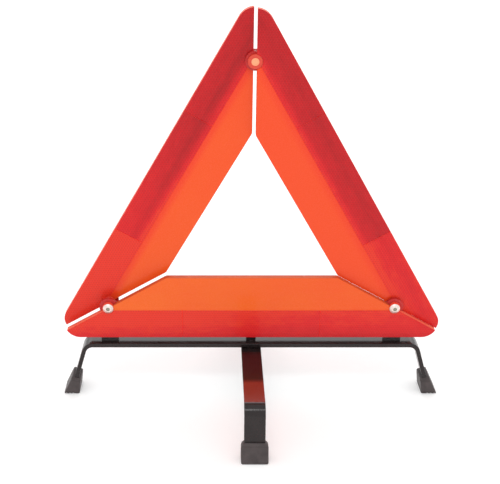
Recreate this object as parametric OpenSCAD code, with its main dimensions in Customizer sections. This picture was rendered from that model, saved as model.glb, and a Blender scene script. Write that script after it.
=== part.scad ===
// Folding warning triangle on a crossed steel stand.
// The triangle stands in the XZ plane, its front faces -Y and the ground is z = 0.
// An arm is modelled lying on its back: u (X) along it, v (Y) inwards from its outer edge,
// and Z from its back (0) to its front (arm_t).

/* [Triangle] */
// Side of the triangle that the three outer edges meet in, before its corners are rounded
side = 463; // [450:1:520]
// Radius of the bar's outer corners
bar_corner_r = 18.5; // [14:0.5:22]
// Radius of the side arms' lower corners
arm_corner_r = 15.5; // [14:0.5:22]
// Radius of the apex
apex_corner_r = 20; // [14:0.5:22]
// Height of the triangle's lower edge above the ground
base_z = 70.6; // [70:0.2:85]
// Width of the red reflector band
red_w = 35.2; // [34:0.2:37]
// Width of the orange fluorescent band
orange_w = 41.6; // [39:0.2:44]
// How far the bar's ends stop short of the mitre lines
lower_gap = 0.2; // [0.1:0.1:1.2]
// How far the side arms' lower ends lap over the mitre lines, behind the bar
arm_lap = 0.4; // [0.1:0.1:0.6]
// Half of the mitre gap at the apex
apex_gap = 1.75; // [1.5:0.05:3]

/* [Arm section] */
// Thickness of an arm from back to front
arm_t = 8; // [7.6:0.1:9]
// Air between the layer of one arm and the layer of the next
layer_gap = 0.6; // [0.6:0.1:1]
// Thickness of the lens's face
lens_t = 2; // [1.6:0.1:2.2]
// Thickness of the lens's side walls
wall_t = 1.6; // [1.2:0.1:2]
// Thickness of the back cover
cover_t = 1.6; // [1.2:0.1:1.8]
// Thickness of the fluorescent panel's face and of its tongue
panel_t = 2.4; // [2:0.1:2.6]
// How far the panel's face lies behind the lens's face
panel_recess = 0.7; // [0.6:0.1:1]
// Width of the panel's tongue, which the lens clamps
tongue_w = 4; // [3:0.5:5]
// Height of the rim around the panel's free edges
rim_h = 0.3; // [0.2:0.1:0.5]
// Width of that rim
rim_w = 1.4; // [1:0.1:1.6]
// Distance from the middle of an arm to the joint between two reflector fields
field_u = 80; // [70:1:90]
// Pitch of the cross ribs on the back cover
rib_pitch = 45; // [45:1:48]

/* [Pivots] */
// Distance from an arm's outer edge to its pivots
pivot_v = 37.8; // [37:0.2:38.6]
// Radius of the ears that reach over the mitre
ear_r = 10.5; // [10:0.1:11]
// Radius of the bosses under the rivet heads
boss_r = 6.5; // [6.2:0.1:7]
// Radius of the bosses at the apex
apex_boss_r = 8; // [7.5:0.1:9]
// Radius of the rivet shanks
rivet_r = 3; // [2.5:0.1:3.2]
// Radius of the rivet heads
rivet_head_r = 6; // [5.5:0.1:6.2]
// Radius of the snap stud's shank
stud_r = 2.5; // [2:0.1:2.8]

/* [Stand] */
// Width of the steel strips
strip_w = 23; // [18:0.5:24]
// Thickness of the steel strips
strip_t = 5; // [4:0.1:5]
// Gap between the triangle's lower edge and the lateral strip
strip_gap = 4.8; // [4.4:0.1:6]
// Distance from the middle to where the lateral strip bends down
lateral_reach = 185.5; // [184:0.5:190]
// Outer radius of the lateral strip's bends
lateral_bend_r = 13.5; // [10:0.5:18]
// Outward lean of the lateral strip's legs, in degrees
lateral_splay = 16.5; // [8:0.5:18]
// Distance from the middle to where the cross strip bends down
cross_reach = 126; // [120:0.5:136]
// Outer radius of the cross strip's bends
cross_bend_r = 13.5; // [10:0.5:16]
// Outward lean of the cross strip's legs, in degrees
cross_splay = 10; // [4:1:12]
// Radius of the swivel spigot
spigot_r = 4; // [3.5:0.1:4.5]
// Height of the rubber boots
boot_h = 21; // [20:0.5:30]
// Width of the boots
boot_w = 29.5; // [29:0.5:32]
// Flare of a boot's outer face away from the leg, in degrees
boot_flare = 9; // [8:0.5:16]
// Flare of a boot's inner face away from the leg, in degrees
boot_inner_flare = 10; // [4:1:14]

/* [Hidden] */
$fn = 64;

fit = 0.05; // clearance of a running or close fit
loose = 0.2; // clearance where one piece only has to miss another
cut = 1; // how far a cutting shape runs past what it cuts
sliver = 0.001; // the same for a countersink, whose mouth must keep its size

band_w = red_w + orange_w;
centre_h = side * sqrt(3) / 6; // from an outer edge to the triangle's centre
centre_z = base_z + centre_h;
pivot_u = side / 2 - pivot_v * sqrt(3); // the pivots lie on the mitres' centre lines

// Arms by layer: the bar in front, then the right arm, then the left arm
bar_back = arm_t / 2;
right_back = bar_back + layer_gap + arm_t;
left_back = right_back + layer_gap + arm_t;

tongue_top = cover_t + panel_t;
panel_face = arm_t - panel_recess;
cavity_top = arm_t - lens_t;
ear_t = tongue_top;

// An arm's end: how far it stops short of the mitre line, the radius of its boss and the radius
// of its corner
bar_end = [lower_gap, boss_r, bar_corner_r];
lower_end = [-arm_lap, boss_r, arm_corner_r];
apex_end = [apex_gap, apex_boss_r, apex_corner_r];
bar_ends = [bar_end, bar_end];
left_ends = [apex_end, lower_end];
right_ends = [lower_end, apex_end];

// Swivel stack, from the lateral strip down to the post's set head
friction_washer_r = 9;
friction_washer_t = 0.5;
lower_washer_r = 8;
lower_washer_t = 0.8;
strip_top = base_z - strip_gap;
strip_bottom = strip_top - strip_t;
cross_top = strip_bottom - friction_washer_t - 2 * fit;
cross_bottom = cross_top - strip_t;
post_head_top = cross_bottom - lower_washer_t - 2 * fit;

// Rivet washers
tail_washer_t = 0.8;
tail_washer_r = 6.2;

// Centre post: heights of its plate are above the bar's lower edge
neck_w = 11.2;
shoulder_d = 6;
plate_w = 26;
plate_low = 5;
plate_high = 16;
plate_t = 3;

// Screws of the post and of the support blocks
screw_r = 1.5;
screw_u = 8;
screw_head_r = 2.9;
screw_head_h = 1.4;

// Support blocks
block_u = 165.5;
block_w = 19.6;
tenon_w = 10;
tenon_d = 3;
tenon_h = 3.4;
support_roof = 1; // what is left of a block above its screw hole

// Strips
tangent_step = 0.01; // how far a leg lies inside its bend's tangent
strip_end_z = 4; // how far a strip's end stays above the ground, inside its boot

// Boots
boot_wall = 2.8; // rubber on each face of the strip at the boot's rim
boot_corner_r = 5;
boot_tilt = 2; // most that a boot's leaning rim rises above boot_h
tread_w = 2;
tread_d = 1.2;

// ---- Frames and shared outlines ----

// Stands an arm up on one side of the triangle, with its back at y = back_y
module on_side(angle, back_y) {
  translate([0, back_y, centre_z])
    rotate([90, 0, 0])
      rotate([0, 0, angle])
        translate([0, -centre_h, 0])
          children();
}

module on_bar() { on_side(0, bar_back) children(); }
module on_right() { on_side(120, right_back) children(); }
module on_left() { on_side(-120, left_back) children(); }

function mitre_u(v, gap) = side / 2 - v * sqrt(3) - 2 * gap;

// Outline of an arm between two distances from its outer edge, with its ends drawn in by inset
module arm_area(v_low, v_high, ends, inset = 0) {
  neg_gap = ends[0][0] + inset;
  pos_gap = ends[1][0] + inset;
  difference() {
    polygon([
      [-mitre_u(v_low, neg_gap), v_low],
      [mitre_u(v_low, pos_gap), v_low],
      [mitre_u(v_high, pos_gap), v_high],
      [-mitre_u(v_high, neg_gap), v_high]
    ]);
    corner(ends[0][2], inset, 1);
    corner(ends[1][2], inset, 0);
  }
}

// What rounding takes off an arm's outer corner, at +X or mirrored to -X
module corner(r, inset, flip) {
  mirror([flip, 0])
    translate([side / 2 - r * sqrt(3), 0])
      difference() {
        translate([0, -cut]) square([r * 2, r + cut]);
        translate([0, r]) circle(r - inset);
      }
}

module arm_slab(z_low, z_high, v_low, v_high, ends, inset = 0) {
  translate([0, 0, z_low])
    linear_extrude(z_high - z_low) arm_area(v_low, v_high, ends, inset);
}

// Round notches that let the bosses through, each as wide as the boss at that end
module boss_notches(ends) {
  for (i = [0, 1])
    translate([(i * 2 - 1) * pivot_u, pivot_v, -cut])
      cylinder(r = ends[i][1] + loose, h = arm_t + 2 * cut);
}

// Low dome on a round base
module dome(base_r, height) {
  ball_r = (base_r * base_r + height * height) / (2 * height);
  intersection() {
    translate([0, 0, height - ball_r]) sphere(ball_r);
    cylinder(r = base_r + cut, h = height);
  }
}

module ring(outer_r, inner_r, height) {
  difference() {
    cylinder(r = outer_r, h = height);
    translate([0, 0, -cut]) cylinder(r = inner_r, h = height + 2 * cut);
  }
}

// ---- Arm pieces ----

// Reflector lens: a face and side walls, open at the back and slotted for the panel's tongue
module lens(ends) {
  inner_v = red_w - wall_t;
  groove_w = 0.7;
  groove_d = 0.5;
  difference() {
    arm_slab(cover_t, arm_t, 0, red_w, ends);
    arm_slab(cover_t - cut, cavity_top, wall_t, inner_v, ends, wall_t);
    arm_slab(cover_t - cut, tongue_top, inner_v - cut, red_w + cut, ends, wall_t);
    boss_notches(ends);
    for (s = [-1, 1])
      translate([s * field_u - groove_w / 2, -cut, arm_t - groove_d])
        cube([groove_w, red_w + 2 * cut, groove_d + cut]);
  }
}

// Fluorescent panel: a tray open at the back, with a tongue under the lens and a rim on its
// free edges
module panel(ends) {
  tongue_inset = 6; // ends the tongue at the bosses
  difference() {
    union() {
      arm_slab(cover_t, panel_face, red_w, band_w, ends);
      arm_slab(cover_t, tongue_top, red_w - tongue_w, red_w, ends, tongue_inset);
      difference() {
        arm_slab(panel_face, panel_face + rim_h, red_w, band_w, ends);
        arm_slab(
          panel_face - cut, panel_face + rim_h + cut,
          red_w - cut, band_w - rim_w, ends, rim_w
        );
      }
    }
    arm_slab(
      cover_t - cut, panel_face - panel_t,
      red_w + wall_t, band_w - wall_t, ends, wall_t
    );
    boss_notches(ends);
  }
}

// The half of an ear that reaches over the mitre
module ear(gap) {
  linear_extrude(ear_t)
    intersection() {
      translate([pivot_u, pivot_v]) circle(ear_r);
      polygon([
        [mitre_u(0, gap), 0],
        [mitre_u(band_w, gap), band_w],
        [side / 2, band_w]
      ]);
    }
}

// Back cover: plate, ribs behind the lens, and at each end a boss and an ear round the bore
module cover(ends, bores) {
  rib_t = 1.2;
  rib_v = 17;
  rib_inset = wall_t + loose;
  rib_root = 0.5; // how deep the ribs run into the plate
  difference() {
    union() {
      arm_slab(0, cover_t, 0, band_w, ends);
      for (i = [0, 1])
        mirror([1 - i, 0, 0]) {
          translate([pivot_u, pivot_v, 0]) cylinder(r = ends[i][1], h = arm_t);
          ear(ends[i][0]);
        }
      intersection() {
        arm_slab(
          cover_t - rib_root, cavity_top - loose,
          rib_inset, red_w - tongue_w - loose, ends, rib_inset
        );
        union() {
          translate([-side / 2, rib_v - rib_t / 2, 0]) cube([side, rib_t, arm_t]);
          for (i = [-4:3])
            translate([(i + 0.5) * rib_pitch - rib_t / 2, 0, 0]) cube([rib_t, red_w, arm_t]);
        }
      }
    }
    for (i = [0, 1])
      translate([(i * 2 - 1) * pivot_u, pivot_v, -cut])
        cylinder(r = bores[i], h = arm_t + 2 * cut);
  }
}

// Slot in the bar's lower wall, w along the bar and d deep from the height low
module wall_slot(u, w, low, d) {
  translate([u - w / 2 - loose, -cut, low - loose])
    cube([w + 2 * loose, wall_t + 2 * cut, d + 2 * loose]);
}

// Slots for the post's neck and the two support tenons
module bar_wall_slots() {
  wall_slot(0, neck_w, cover_t, plate_t);
  for (s = [-1, 1])
    wall_slot(s * block_u, tenon_w, bar_back - tenon_d / 2, tenon_d);
}

module post_screw_places() {
  for (s = [-1, 1])
    translate([s * screw_u, (plate_low + plate_high) / 2, 0]) children();
}

// Countersunk screw, its head's face at z = 0 and its tip up
module countersunk_screw(clearance, length) {
  cylinder(r1 = screw_head_r + clearance, r2 = screw_r + clearance, h = screw_head_h);
  cylinder(r = screw_r + clearance, h = length);
}

module bar_lens() {
  color([0.86, 0.20, 0.22]) on_bar()
    difference() {
      lens(bar_ends);
      bar_wall_slots();
    }
}

module bar_cover() {
  color([0.80, 0.16, 0.14]) on_bar()
    difference() {
      cover(bar_ends, [rivet_r + fit, rivet_r + fit]);
      post_screw_places() translate([0, 0, -sliver]) countersunk_screw(fit, cover_t + cut);
    }
}

module bar_panel() {
  color([0.96, 0.40, 0.20]) on_bar() panel(bar_ends);
}

module left_lens() {
  color([0.82, 0.18, 0.20]) on_left() lens(left_ends);
}

module left_cover() {
  color([0.80, 0.16, 0.14]) on_left() cover(left_ends, [stud_r * 2 + fit, rivet_r + fit]);
}

module left_panel() {
  color([0.94, 0.38, 0.20]) on_left() panel(left_ends);
}

module right_lens() {
  color([0.82, 0.18, 0.20]) on_right() lens(right_ends);
}

module right_cover() {
  color([0.80, 0.16, 0.14]) on_right() cover(right_ends, [rivet_r + fit, stud_r + fit]);
}

module right_panel() {
  color([0.94, 0.38, 0.20]) on_right() panel(right_ends);
}

// ---- Apex snap ----

// Ring in the left arm's apex boss that the stud snaps into
module left_snap_socket() {
  recess = 0.5;
  color([0.90, 0.45, 0.35]) on_left()
    translate([-pivot_u, pivot_v, recess])
      ring(stud_r * 2, stud_r + loose, arm_t - recess);
}

// Stud through the right arm's apex boss, with a domed head in front
module right_snap_stud() {
  head_r = 4.2;
  head_h = 1.6;
  color([0.98, 0.66, 0.52]) on_right()
    translate([pivot_u, pivot_v, 0]) {
      cylinder(r = stud_r, h = arm_t + fit);
      translate([0, 0, arm_t + fit]) dome(head_r, head_h);
    }
}

// ---- Corner rivets ----

// Rivet from the bar's front to back_y, with a hollow domed head in front and a set tail behind
module pivot_rivet(back_y) {
  head_h = 2.8;
  hollow_r = 1.6;
  hollow_d = 1.8;
  tail_r = 5;
  tail_h = 2;
  front_y = bar_back - arm_t;
  difference() {
    union() {
      translate([0, front_y - fit, 0]) rotate([90, 0, 0]) dome(rivet_head_r, head_h);
      translate([0, front_y - fit, 0]) rotate([-90, 0, 0])
        cylinder(r = rivet_r, h = back_y - front_y + 2 * fit);
      translate([0, back_y + fit, 0]) rotate([-90, 0, 0]) dome(tail_r, tail_h);
    }
    translate([0, front_y - fit - head_h - cut, 0]) rotate([-90, 0, 0])
      cylinder(r = hollow_r, h = hollow_d + cut);
  }
}

module at_corner(s) { translate([s * pivot_u, 0, base_z + pivot_v]) children(); }

// Ring about a pivot between two y values
module pivot_ring(outer_r, low_y, high_y) {
  translate([0, low_y, 0]) rotate([-90, 0, 0]) ring(outer_r, rivet_r + fit, high_y - low_y);
}

module left_pivot_rivet() {
  color("silver") at_corner(-1) pivot_rivet(left_back + tail_washer_t + 2 * fit);
}

module left_pivot_spacer() {
  spacer_r = 5.5;
  color([0.75, 0.15, 0.13]) at_corner(-1)
    pivot_ring(spacer_r, bar_back + fit, right_back + layer_gap - fit);
}

module left_pivot_washer() {
  color("silver") at_corner(-1)
    pivot_ring(tail_washer_r, left_back + fit, left_back + fit + tail_washer_t);
}

module right_pivot_rivet() {
  color("silver") at_corner(1) pivot_rivet(right_back + tail_washer_t + 2 * fit);
}

module right_pivot_shim() {
  shim_r = 6;
  color("ivory") at_corner(1)
    pivot_ring(shim_r, bar_back + fit, bar_back + layer_gap - fit);
}

module right_pivot_washer() {
  color("silver") at_corner(1)
    pivot_ring(tail_washer_r, right_back + fit, right_back + fit + tail_washer_t);
}

// ---- Stand: post and supports ----

// Post: a plate inside the bar, a neck, a shoulder on the strip and a spigot with a set head
module centre_post() {
  plate_back = bar_back - cover_t;
  head_r = 6.5;
  head_h = 1.9;
  color([0.14, 0.13, 0.13])
    difference() {
      union() {
        translate([-plate_w / 2, plate_back - plate_t, base_z + plate_low])
          cube([plate_w, plate_t, plate_high - plate_low]);
        translate([-neck_w / 2, plate_back - plate_t, strip_top])
          cube([neck_w, plate_t, strip_gap + plate_low]);
        translate([-neck_w / 2, -shoulder_d / 2, strip_top])
          cube([neck_w, shoulder_d, strip_gap - loose]);
        translate([0, 0, post_head_top]) cylinder(r = spigot_r, h = strip_top - post_head_top);
        translate([0, 0, post_head_top]) mirror([0, 0, 1]) dome(head_r, head_h);
      }
      on_bar() post_screw_places() cylinder(r = screw_r + fit, h = arm_t);
    }
}

module post_screws() {
  color([0.55, 0.55, 0.56]) on_bar()
    post_screw_places() countersunk_screw(0, cover_t + plate_t - loose);
}

// Block under one end of the bar, with a tenon up into the bar's lower wall
module support(s) {
  translate([s * block_u, 0, 0])
    difference() {
      union() {
        translate([-block_w / 2, -arm_t / 2, strip_top]) cube([block_w, arm_t, strip_gap]);
        translate([-tenon_w / 2, -tenon_d / 2, base_z]) cube([tenon_w, tenon_d, tenon_h]);
      }
      translate([0, 0, strip_top - cut])
        cylinder(r = screw_r + fit, h = strip_gap - support_roof + cut);
    }
}

module left_support() { color([0.12, 0.12, 0.12]) support(-1); }
module right_support() { color([0.12, 0.12, 0.12]) support(1); }

// Pan-head screws up through the lateral strip into the support blocks
module support_screws() {
  head_r = 3;
  head_h = 1.8;
  color([0.55, 0.55, 0.56])
    for (s = [-1, 1])
      translate([s * block_u, 0, strip_bottom - fit]) {
        cylinder(r = screw_r, h = strip_t + strip_gap - support_roof - loose);
        mirror([0, 0, 1]) dome(head_r, head_h);
      }
}

// ---- Stand: strips and boots ----

// A bent strip: its top, the reach and outer radius of its bends, and the lean of its legs
lateral = [strip_top, lateral_reach, lateral_bend_r, lateral_splay];
cross = [cross_top, cross_reach, cross_bend_r, cross_splay];

// Places children in a leg's own frame: origin at the bend's centre, X along the leg's outward
// normal and -Y down the leg
module leg_frame(bent) {
  translate([bent[1], bent[0] - bent[2]]) rotate(bent[3]) children();
}

// Distance down the leg's outer surface, from the end of the bend to the height z
function leg_drop(bent, z) = (bent[0] - bent[2] + bent[2] * sin(bent[3]) - z) / cos(bent[3]);

// Distance of a leg's outer surface from its bend's centre
function leg_face(bent) = bent[2] - tangent_step;

module leg(bent) {
  length = leg_drop(bent, strip_end_z);
  leg_frame(bent)
    translate([leg_face(bent) - strip_t, -length]) square([strip_t, length]);
}

// The area under a surface that lies depth inside a bent strip's outer surface
module under_surface(bent, depth, deep) {
  length = leg_drop(bent, strip_end_z) + deep;
  level = bent[0] - bent[2];
  translate([-bent[1], level - deep]) square([2 * bent[1], deep + bent[2] - depth]);
  for (s = [0, 1])
    mirror([s, 0]) {
      translate([bent[1], level]) circle(bent[2] - depth);
      leg_frame(bent)
        translate([-deep, -length]) square([deep + leg_face(bent) - depth, length]);
    }
}

// Side profile of a bent strip
module strip_profile(bent) {
  difference() {
    under_surface(bent, 0, 0);
    under_surface(bent, strip_t, 2 * bent[2]);
  }
}

module strip(bent) {
  difference() {
    rotate([90, 0, 0])
      linear_extrude(strip_w, center = true) strip_profile(bent);
    translate([0, 0, bent[0] - strip_t - cut]) cylinder(r = spigot_r + fit, h = strip_t + 2 * cut);
  }
}

module lateral_strip() {
  color([0.10, 0.09, 0.09])
    difference() {
      strip(lateral);
      for (s = [-1, 1])
        translate([s * block_u, 0, strip_bottom - cut])
          cylinder(r = screw_r + fit, h = strip_t + 2 * cut);
    }
}

module cross_strip() {
  color([0.10, 0.09, 0.09])
    rotate([0, 0, 90]) strip(cross);
}

module friction_washer() {
  color([0.75, 0.72, 0.62])
    translate([0, 0, cross_top + fit]) ring(friction_washer_r, spigot_r + fit, friction_washer_t);
}

module lower_washer() {
  color("silver")
    translate([0, 0, cross_bottom - fit - lower_washer_t])
      ring(lower_washer_r, spigot_r + fit, lower_washer_t);
}

// Side profile of a boot: both faces flare away from the leg, and the sole is level
module boot_profile(bent) {
  rim_y = -leg_drop(bent, boot_h);
  run = 2 * boot_h;
  inner_x = leg_face(bent) - strip_t - boot_wall;
  outer_x = leg_face(bent) + boot_wall;
  difference() {
    leg_frame(bent)
      polygon([
        [inner_x, rim_y],
        [outer_x, rim_y],
        [outer_x + run * tan(boot_flare), rim_y - run],
        [inner_x - run * tan(boot_inner_flare), rim_y - run]
      ]);
    translate([0, -side]) square([side, side]);
  }
}

// Front view of a boot: a rectangle with its two upper corners rounded
module boot_face() {
  half = boot_w / 2;
  top = boot_h + boot_tilt;
  translate([-half, -cut]) square([boot_w, top - boot_corner_r + cut]);
  translate([-half + boot_corner_r, 0]) square([boot_w - 2 * boot_corner_r, top]);
  for (s = [-1, 1])
    translate([s * (half - boot_corner_r), top - boot_corner_r]) circle(boot_corner_r);
}

// Boot on the +X leg of a strip, with a slot for the strip and grooves across its sole
module boot(bent) {
  sole_x = bent[1] + bent[2] * cos(bent[3]) + leg_drop(bent, 0) * sin(bent[3]);
  difference() {
    intersection() {
      rotate([90, 0, 0])
        linear_extrude(boot_w, center = true) boot_profile(bent);
      rotate([90, 0, 90]) linear_extrude(side) boot_face();
    }
    rotate([90, 0, 0])
      linear_extrude(strip_w, center = true) leg(bent);
    for (i = [-1, 0, 1])
      translate([sole_x + i * 2 * tread_w - tread_w / 2, -boot_w, -cut])
        cube([tread_w, 2 * boot_w, tread_d + cut]);
  }
}

boot_black = [0.24, 0.23, 0.23];

module right_boot() {
  color(boot_black) boot(lateral);
}

module left_boot() {
  color(boot_black) mirror([1, 0, 0]) boot(lateral);
}

module rear_boot() {
  color(boot_black) rotate([0, 0, 90]) boot(cross);
}

module front_boot() {
  color(boot_black) rotate([0, 0, -90]) boot(cross);
}

bar_lens();
bar_cover();
bar_panel();
left_lens();
left_cover();
left_panel();
left_snap_socket();
right_lens();
right_cover();
right_panel();
right_snap_stud();
left_pivot_rivet();
left_pivot_spacer();
left_pivot_washer();
right_pivot_rivet();
right_pivot_shim();
right_pivot_washer();
centre_post();
post_screws();
left_support();
right_support();
support_screws();
lateral_strip();
cross_strip();
friction_washer();
lower_washer();
left_boot();
right_boot();
front_boot();
rear_boot();
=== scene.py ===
import math

import bmesh
import bpy
from mathutils import Matrix, Vector


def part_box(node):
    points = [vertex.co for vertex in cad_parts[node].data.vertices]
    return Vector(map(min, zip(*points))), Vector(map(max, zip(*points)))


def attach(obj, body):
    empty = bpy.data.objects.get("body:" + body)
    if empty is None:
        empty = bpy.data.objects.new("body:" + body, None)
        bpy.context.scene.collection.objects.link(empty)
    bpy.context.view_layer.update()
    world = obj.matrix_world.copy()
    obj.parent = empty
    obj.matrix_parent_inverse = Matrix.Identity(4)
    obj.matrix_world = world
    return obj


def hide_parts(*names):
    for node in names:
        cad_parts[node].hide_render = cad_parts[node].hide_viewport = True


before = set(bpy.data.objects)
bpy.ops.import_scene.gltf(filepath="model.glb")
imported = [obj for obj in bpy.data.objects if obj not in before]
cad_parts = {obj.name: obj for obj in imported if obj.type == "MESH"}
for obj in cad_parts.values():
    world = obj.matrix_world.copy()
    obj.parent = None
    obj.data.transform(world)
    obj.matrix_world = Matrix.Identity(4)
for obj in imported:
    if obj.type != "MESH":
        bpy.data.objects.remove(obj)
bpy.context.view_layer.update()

MM = 0.001
SQRT3 = math.sqrt(3)

# ---- Sizes of the CAD model, in millimetres ----


def low_corner(node):
    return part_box(node)[0] / MM


def high_corner(node):
    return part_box(node)[1] / MM


# Arms: u runs along an arm from its middle, v across it from its outer edge
SIDE = 463.0  # between the corners that the arms' outer edges would meet in
BASE_Z = low_corner("bar_lens").z
RED_W = 35.2
ORANGE_W = 41.6
BAND_W = RED_W + ORANGE_W
BAR_BACK = high_corner("bar_cover").y
BAR_FRONT = low_corner("bar_cover").y
RIGHT_BACK = high_corner("right_cover").y
LEFT_BACK = high_corner("left_cover").y
ARM_T = BAR_BACK - BAR_FRONT
COVER_T = 1.6
EAR_T = 4.0
EAR_R = 10.5
PANEL_FACE = ARM_T - 0.7
PANEL_RIM = 0.3
PANEL_RIM_W = 1.4
INNER_CORNER_R = 6.0
NOTCH_GAP = 0.2  # between a boss and the lens and panel around it
PIVOT_V = 37.8
PIVOT_U = SIDE / 2 - PIVOT_V * SQRT3
PIVOT_Z = BASE_Z + PIVOT_V
APEX_Z = BASE_Z + SIDE * SQRT3 / 2 - 2 * PIVOT_V
CENTRE_H = SIDE * SQRT3 / 6
CENTRE_Z = BASE_Z + CENTRE_H

# An arm's end: (how far it stops short of the mitre line, or laps over it where negative,
# radius of its boss, radius of its corner)
BAR_END = (0.2, 6.5, 18.5)
LOWER_END = (-0.4, 6.5, 15.5)
APEX_END = (1.75, 8.0, 20.0)
ARMS = {
    # name: (angle about +Y, y of its back, end at -u, end at +u, body)
    "bar": (0.0, BAR_BACK, BAR_END, BAR_END, "base"),
    "right": (120.0, RIGHT_BACK, LOWER_END, APEX_END, "right_arm"),
    "left": (-120.0, LEFT_BACK, APEX_END, LOWER_END, "left_arm"),
}

# A lens's three reflector fields
FIELD_U = 80.0
FIELD_H = 0.5
FIELD_RIM = 1.5
FIELD_SINK = 0.22
GROOVE_W = 0.7
CELL = 2.6  # pitch of the reflector's cube-corner cells

# A cover's back: its rim, and the ribs along and across it
BACK_RIM = 2.2
BACK_SINK = 0.45
RIB_T = 1.2
RIB_TOP = 0.8
LONG_RIB_V = (17.0, 41.0, 59.0)
LONG_RIB_BACK = 0.08
LONG_RIB_MITRE_GAP = 16.0  # along u
SHORT_RIB_PITCH = 45.0
SHORT_RIB_BACK = 0.10
SHORT_RIB_END = 1.8  # from the cover's outer and inner edge
SHORT_RIB_MITRE_GAP = 9.0  # along v

# Pins, washers and screws
FIT = 0.05  # clearance around a pin and beside a washer
LAYER_GAP = LEFT_BACK - RIGHT_BACK - ARM_T  # between two arms
SHANK_R = 3.0
SPIGOT_R = 4.0
STUD_R = 2.5
SOCKET_BACK = 0.5  # in front of the left arm's back
WASHER_T = 0.8

# Post and supports; a half is half a size along X, then along Y
POST_SCREW_U = 8.0
POST_SCREW_V = 10.5
PLATE_HALF_W = 13.0
PLATE_T = 3.0
NECK_HALF = (5.6, 3.0)
SUPPORT_X = 165.5
SUPPORT_HALF = (9.8, 4.0)
TONGUE_HALF = (5.0, 1.5)
TONGUE_H = 3.4
FLUTE_HALF_W = 2.4
FLUTE_D = 0.7
FLUTE_END = 1.2  # how far a flute stops short of the block's top and bottom

# Strips
STRIP_W = 23.0
STRIP_T = 5.0
STRIP_EDGE_R = 0.7
STRIP_TOP = high_corner("lateral_strip").z
CROSS_TOP = high_corner("cross_strip").z
CROSS_BOTTOM = CROSS_TOP - STRIP_T
STRIP_GAP = STRIP_TOP - STRIP_T - CROSS_TOP
STRIP_END_Z = 4.0
LEG_SINK = 0.01  # keeps a leg's outer face a hair under its bend's
# A bent strip: (its top, reach and outer radius of its bends, lean of its legs)
LATERAL = (STRIP_TOP, 185.5, 13.5, 16.5)
CROSS = (CROSS_TOP, 126.0, 13.5, 10.0)

# Boots
BOOT_H = 21.0
BOOT_W = 29.5
BOOT_WALL = 2.8
BOOT_SHOULDER = 5.0
BOOT_FLARE = 9.0
BOOT_INNER_FLARE = 10.0
# Down a boot: (share of its height, how far its surface is drawn in)
BOOT_LIP = [(0.0, 1.0), (0.006, 0.55), (0.02, 0.2), (0.045, 0.0), (0.12, 0.0)]
BOOT_UPPER_GROOVE = [(0.135, 0.45), (0.165, 0.55), (0.185, 0.45), (0.20, 0.12), (0.23, 0.0)]
BOOT_SIDE = [(0.23 + 0.62 * k / 6, 0.0) for k in range(1, 7)]
BOOT_LOWER_GROOVE = [(0.865, 0.35), (0.885, 0.40), (0.90, 0.35), (0.915, 0.0)]
BOOT_SOLE = [(0.975, 0.0), (0.992, 0.18), (1.0, 0.6)]
BOOT_STATIONS = BOOT_LIP + BOOT_UPPER_GROOVE + BOOT_SIDE + BOOT_LOWER_GROOVE + BOOT_SOLE


def cos(deg):
    return math.cos(math.radians(deg))


def sin(deg):
    return math.sin(math.radians(deg))


def tan(deg):
    return math.tan(math.radians(deg))


# ---- Node helpers ----


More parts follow.
